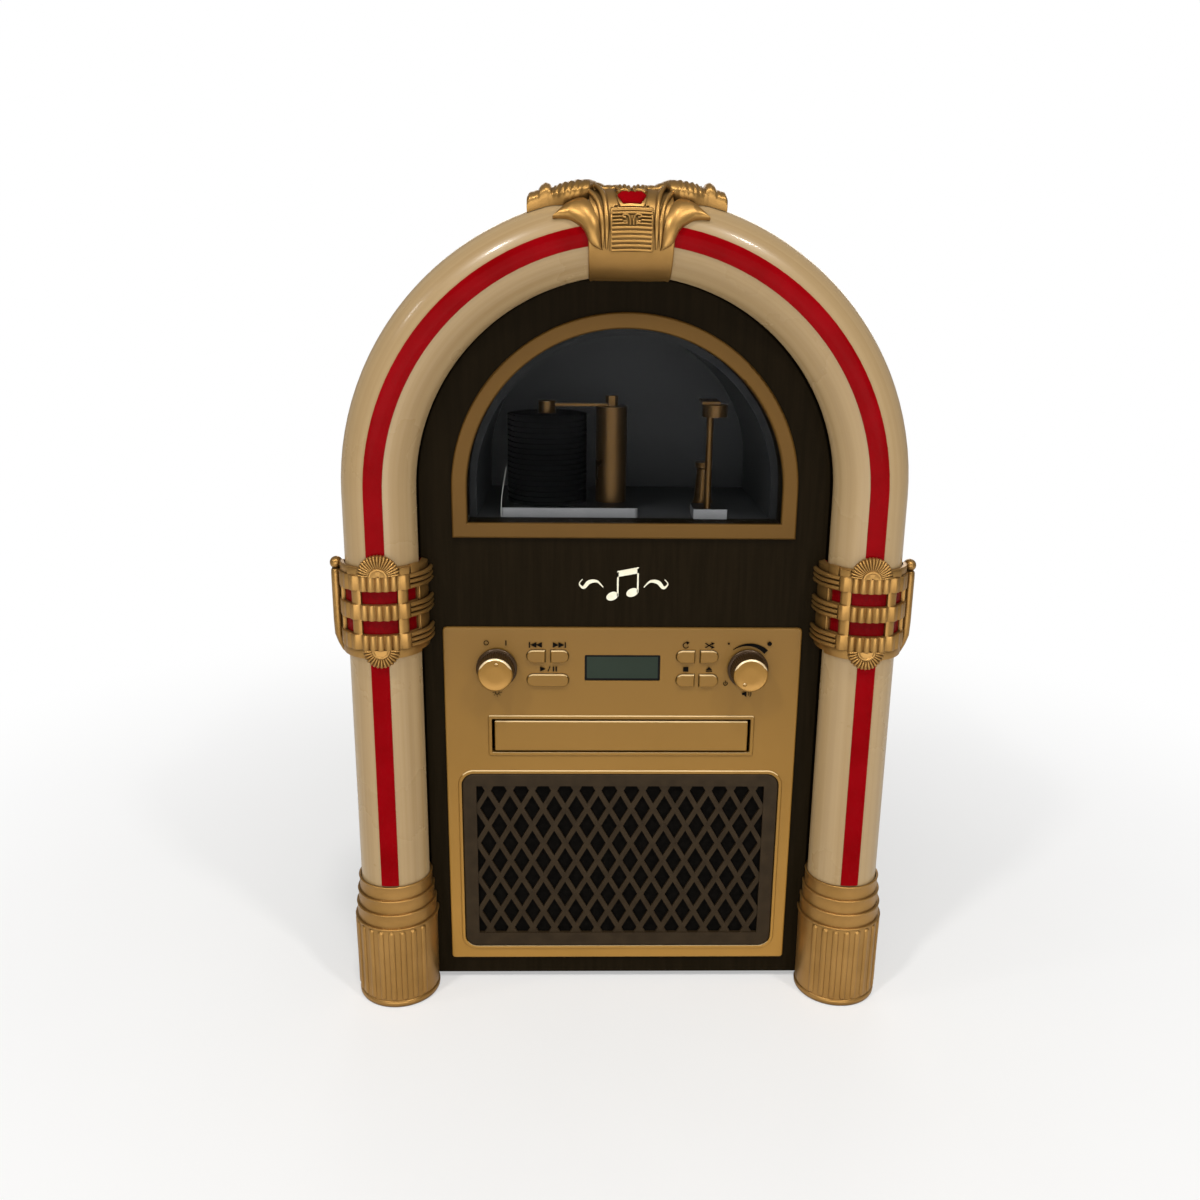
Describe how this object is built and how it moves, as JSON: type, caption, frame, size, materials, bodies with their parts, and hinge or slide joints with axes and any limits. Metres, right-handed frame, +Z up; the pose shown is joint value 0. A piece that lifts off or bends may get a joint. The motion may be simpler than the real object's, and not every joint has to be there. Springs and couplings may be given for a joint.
{
  "type": "tabletop jukebox",
  "caption": "Tabletop jukebox disc player: arched cabinet, light tube with red strip, display window, control panel, sliding disc drawer and lattice speaker grille.",
  "frame": {"origin": "on the table, under the middle of the object's box", "axes": "+X to the object's right as seen from the front, +Y to its back, +Z up; the front faces -Y"},
  "size_m": [0.324, 0.2295, 0.4683],
  "materials": {
    "dark_wood": "very dark brown wood-grain veneer, satin",
    "plain_board": "raw fibreboard",
    "back_board": "dark painted hardboard",
    "black_steel": "black finish",
    "rubber": "matte",
    "ivory_plastic": "glossy warm ivory, streaked",
    "red_lens": "glossy deep red",
    "lamp_white": "frosted lamp",
    "gold_paint": "satin metallic gold paint",
    "gold_bezel": "satin metallic gold paint",
    "clear_pane": "clear acrylic",
    "chamber_grey": "blue-grey",
    "gloss_black": "glossy black",
    "silver_plate": "silver paint",
    "brass_paint": "satin",
    "lcd_window": "grey-green tint",
    "lcd_panel": "grey-green",
    "circuit_green": "circuit board",
    "black_plastic": "moulded black",
    "steel": "plated",
    "grille_brown": "dark brown, satin",
    "grille_cloth": "black speaker cloth",
    "speaker_paper": "pressed paper",
    "white_plastic": "natural nylon"
  },
  "bodies": {
    "cabinet": {"back_panel": "back_board", "back_screws": "black_steel", "band_lenses": "red_lens", "bottom_panel": "plain_board", "cabinet_shell": "dark_wood", "cone_post": "brass_paint", "control_board": "circuit_green", "control_panel": "gold_paint", "crest": "gold_paint", "crest_jewel": "red_lens", "display_chamber": "chamber_grey", "display_lens": "lcd_window", "display_module": "lcd_panel", "drive_belt": "rubber", "front_baffle": "dark_wood", "grille_cloth": "grille_cloth", "gripper_arm": "brass_paint", "guide_rods": "steel", "left_band": "gold_paint", "left_pillar": "gold_paint", "light_tube": "ivory_plastic", "loader_frame": "black_plastic", "loader_shelf": "plain_board", "loading_motor": "steel", "main_board": "circuit_green", "rear_jacks": "black_plastic", "record_stack": "gloss_black", "red_strip": "red_lens", "right_band": "gold_paint", "right_pillar": "gold_paint", "rotary_controls": "steel", "rubber_feet": "rubber", "speaker_cones": "speaker_paper", "speaker_frames": "black_steel", "speaker_grille": "grille_brown", "speaker_magnets": "steel", "spindle_motor": "steel", "stack_plate": "silver_plate", "stack_post": "brass_paint", "tact_switches": "black_plastic", "tube_lamps": "lamp_white", "window_bezel": "gold_bezel", "window_pane": "clear_pane"},
    "drawer": {"tray_door": "gold_paint", "disc_tray": "black_plastic"},
    "drive_gear": {"drive_gear": "white_plastic"},
    "pulley_gear": {"pulley_gear": "white_plastic"},
    "motor_pulley": {"motor_pulley": "white_plastic"},
    "turntable": {"turntable": "black_plastic"},
    "disc_clamp": {"disc_clamp": "white_plastic"},
    "laser_sled": {"laser_sled": "black_plastic"},
    "light_knob": {"light_knob": "gold_paint"},
    "volume_knob": {"volume_knob": "gold_paint"},
    "eject_button": {"eject_button": "gold_paint"},
    "play_pause_button": {"play_pause_button": "gold_paint"},
    "program_button": {"program_button": "gold_paint"},
    "random_button": {"random_button": "gold_paint"},
    "skip_back_button": {"skip_back_button": "gold_paint"},
    "skip_forward_button": {"skip_forward_button": "gold_paint"},
    "stop_button": {"stop_button": "gold_paint"}
  },
  "joints": [
    {"name": "drawer_slide", "type": "slide", "parent": "cabinet", "child": "drawer", "axis": [0, -1, 0], "range_m": [0, 0.136]},
    {"name": "drive_gear_spin", "type": "hinge", "parent": "cabinet", "child": "drive_gear", "pos_m": [-0.045, -0.048, 0.154], "axis": [0, 0, 1], "range_deg": [0, 655]},
    {"name": "pulley_gear_spin", "type": "hinge", "parent": "cabinet", "child": "pulley_gear", "pos_m": [-0.025, -0.048, 0.15], "axis": [0, 0, 1], "range_deg": [-980, 0]},
    {"name": "motor_pulley_spin", "type": "hinge", "parent": "cabinet", "child": "motor_pulley", "pos_m": [0.012, -0.048, 0.148], "axis": [0, 0, 1], "range_deg": [-3520, 0]},
    {"name": "turntable_spin", "type": "hinge", "parent": "cabinet", "child": "turntable", "pos_m": [0, -0.01, 0.16], "axis": [0, 0, 1], "continuous": true},
    {"name": "disc_clamp_spin", "type": "hinge", "parent": "cabinet", "child": "disc_clamp", "pos_m": [0, -0.01, 0.172], "axis": [0, 0, 1], "continuous": true},
    {"name": "sled_slide", "type": "slide", "parent": "cabinet", "child": "laser_sled", "axis": [0, 1, 0], "range_m": [0, 0.034]},
    {"name": "light_knob_turn", "type": "hinge", "parent": "cabinet", "child": "light_knob", "pos_m": [-0.072, -0.09, 0.2055], "axis": [0, 1, 0], "range_deg": [-30, 30]},
    {"name": "volume_knob_turn", "type": "hinge", "parent": "cabinet", "child": "volume_knob", "pos_m": [0.072, -0.09, 0.2055], "axis": [0, 1, 0], "range_deg": [0, 300]},
    {"name": "eject_press", "type": "slide", "parent": "cabinet", "child": "eject_button", "axis": [0, 1, 0], "range_m": [0, 0.001], "stiffness_N_per_m": 400},
    {"name": "play_pause_press", "type": "slide", "parent": "cabinet", "child": "play_pause_button", "axis": [0, 1, 0], "range_m": [0, 0.001], "stiffness_N_per_m": 400},
    {"name": "program_press", "type": "slide", "parent": "cabinet", "child": "program_button", "axis": [0, 1, 0], "range_m": [0, 0.001], "stiffness_N_per_m": 400},
    {"name": "random_press", "type": "slide", "parent": "cabinet", "child": "random_button", "axis": [0, 1, 0], "range_m": [0, 0.001], "stiffness_N_per_m": 400},
    {"name": "skip_back_press", "type": "slide", "parent": "cabinet", "child": "skip_back_button", "axis": [0, 1, 0], "range_m": [0, 0.001], "stiffness_N_per_m": 400},
    {"name": "skip_forward_press", "type": "slide", "parent": "cabinet", "child": "skip_forward_button", "axis": [0, 1, 0], "range_m": [0, 0.001], "stiffness_N_per_m": 400},
    {"name": "stop_press", "type": "slide", "parent": "cabinet", "child": "stop_button", "axis": [0, 1, 0], "range_m": [0, 0.001], "stiffness_N_per_m": 400}
  ],
  "couplings": [
    {"joint": "drive_gear_spin", "follows": "drawer_slide", "rad_per_m": 83.333},
    {"joint": "pulley_gear_spin", "follows": "drawer_slide", "rad_per_m": -125},
    {"joint": "motor_pulley_spin", "follows": "drawer_slide", "rad_per_m": -450.66},
    {"joint": "disc_clamp_spin", "follows": "turntable_spin", "ratio": 1}
  ]
}
